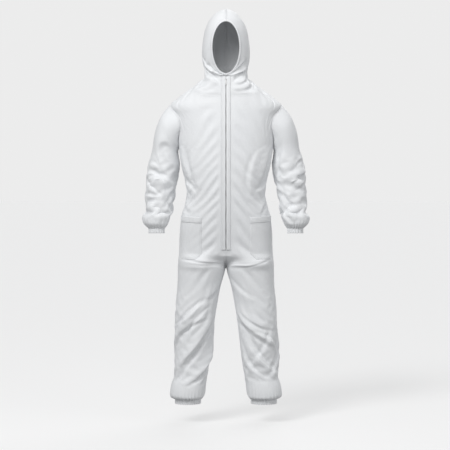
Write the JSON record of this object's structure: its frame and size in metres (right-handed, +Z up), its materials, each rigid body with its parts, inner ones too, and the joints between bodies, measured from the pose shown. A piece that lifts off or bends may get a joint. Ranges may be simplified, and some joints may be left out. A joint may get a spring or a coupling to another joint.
{
  "type": "hooded protective coverall",
  "caption": "White hooded protective coverall with a long front zip, patch pockets, and elastic at the face, wrists, waist and ankles.",
  "frame": {"origin": "middle of the neck base, where the suit rests on the wearer's shoulders", "axes": "+Z up, the front faces -Y, the wearer's left is +X"},
  "size_m": [0.7132, 0.2718, 1.698],
  "materials": {
    "cloth": "fine woven polyester, soft sheen",
    "elastic": "knitted elastic, matt",
    "zip_tape": "woven tape, matt",
    "zip_plastic": "satin",
    "zip_metal": "satin enamel"
  },
  "bodies": {
    "torso": {"left_front_panel": "cloth", "left_back_panel": "cloth", "left_neck_panel": "cloth", "left_hood_fold": "cloth", "left_pocket": "cloth", "left_pocket_hem": "cloth", "left_zip_tape": "zip_tape", "left_zip_teeth": "zip_plastic", "left_zip_placket": "cloth", "left_sleeve_head": "cloth", "left_hip_fold": "cloth", "right_front_panel": "cloth", "right_back_panel": "cloth", "right_neck_panel": "cloth", "right_hood_fold": "cloth", "right_pocket": "cloth", "right_pocket_hem": "cloth", "right_zip_tape": "zip_tape", "right_zip_teeth": "zip_plastic", "right_zip_placket": "cloth", "right_sleeve_head": "cloth", "right_hip_fold": "cloth", "waist_elastic": "elastic", "zip_bottom_stop": "zip_plastic", "zip_top_stops": "zip_plastic"},
    "hood": {"left_hood_panel": "cloth", "right_hood_panel": "cloth", "hood_crown_seam": "cloth", "face_casing": "cloth", "face_elastic": "elastic"},
    "zip_slider": {"zip_slider": "zip_metal"},
    "zip_pull": {"zip_pull": "zip_metal"},
    "left_upper_arm": {"left_upper_sleeve": "cloth", "left_elbow_fold": "cloth"},
    "left_forearm": {"left_forearm_sleeve": "cloth", "left_wrist_hem": "cloth", "left_wrist_elastic": "elastic"},
    "left_thigh": {"left_thigh_front_panel": "cloth", "left_thigh_back_panel": "cloth", "left_knee_fold": "cloth"},
    "left_shin": {"left_shin_front_panel": "cloth", "left_shin_back_panel": "cloth", "left_ankle_hem": "cloth", "left_ankle_elastic": "elastic"},
    "right_upper_arm": {"right_upper_sleeve": "cloth", "right_elbow_fold": "cloth"},
    "right_forearm": {"right_forearm_sleeve": "cloth", "right_wrist_hem": "cloth", "right_wrist_elastic": "elastic"},
    "right_thigh": {"right_thigh_front_panel": "cloth", "right_thigh_back_panel": "cloth", "right_knee_fold": "cloth"},
    "right_shin": {"right_shin_front_panel": "cloth", "right_shin_back_panel": "cloth", "right_ankle_hem": "cloth", "right_ankle_elastic": "elastic"}
  },
  "joints": [
    {"name": "zip_slide", "type": "hinge", "parent": "torso", "child": "zip_slider", "pos_m": [0, 1.328, -0.306], "axis": [1, 0, 0], "range_deg": [0, 27.8]},
    {"name": "zip_pull_swing", "type": "hinge", "parent": "zip_slider", "child": "zip_pull", "pos_m": [0, -0.0951, 0.07645], "axis": [1, 0, 0], "range_deg": [-145, 0]},
    {"name": "hood_nod", "type": "hinge", "parent": "torso", "child": "hood", "pos_m": [0, 0.015, 0.16], "axis": [1, 0, 0], "range_deg": [-18, 20], "deforming": ["left_hood_fold", "right_hood_fold", "face_casing", "face_elastic"]},
    {"name": "left_shoulder", "type": "hinge", "parent": "torso", "child": "left_upper_arm", "pos_m": [0.2, 0, -0.05], "axis": [0, -1, 0], "range_deg": [0, 55], "deforming": ["left_sleeve_head"]},
    {"name": "left_elbow", "type": "hinge", "parent": "left_upper_arm", "child": "left_forearm", "pos_m": [0.273, 0, -0.32], "axis": [-1, 0, 0], "range_deg": [0, 70], "deforming": ["left_elbow_fold"]},
    {"name": "left_hip", "type": "hinge", "parent": "torso", "child": "left_thigh", "pos_m": [0.1, 0.005, -0.62], "axis": [-1, 0, 0], "range_deg": [-12, 28], "deforming": ["left_hip_fold"]},
    {"name": "left_knee", "type": "hinge", "parent": "left_thigh", "child": "left_shin", "pos_m": [0.132, 0.005, -0.92], "axis": [1, 0, 0], "range_deg": [0, 50], "deforming": ["left_knee_fold"]},
    {"name": "right_shoulder", "type": "hinge", "parent": "torso", "child": "right_upper_arm", "pos_m": [-0.2, 0, -0.05], "axis": [0, 1, 0], "range_deg": [0, 55], "deforming": ["right_sleeve_head"]},
    {"name": "right_elbow", "type": "hinge", "parent": "right_upper_arm", "child": "right_forearm", "pos_m": [-0.273, 0, -0.32], "axis": [-1, 0, 0], "range_deg": [0, 70], "deforming": ["right_elbow_fold"]},
    {"name": "right_hip", "type": "hinge", "parent": "torso", "child": "right_thigh", "pos_m": [-0.1, 0.005, -0.62], "axis": [-1, 0, 0], "range_deg": [-12, 28], "deforming": ["right_hip_fold"]},
    {"name": "right_knee", "type": "hinge", "parent": "right_thigh", "child": "right_shin", "pos_m": [-0.132, 0.005, -0.92], "axis": [1, 0, 0], "range_deg": [0, 50], "deforming": ["right_knee_fold"]}
  ]
}
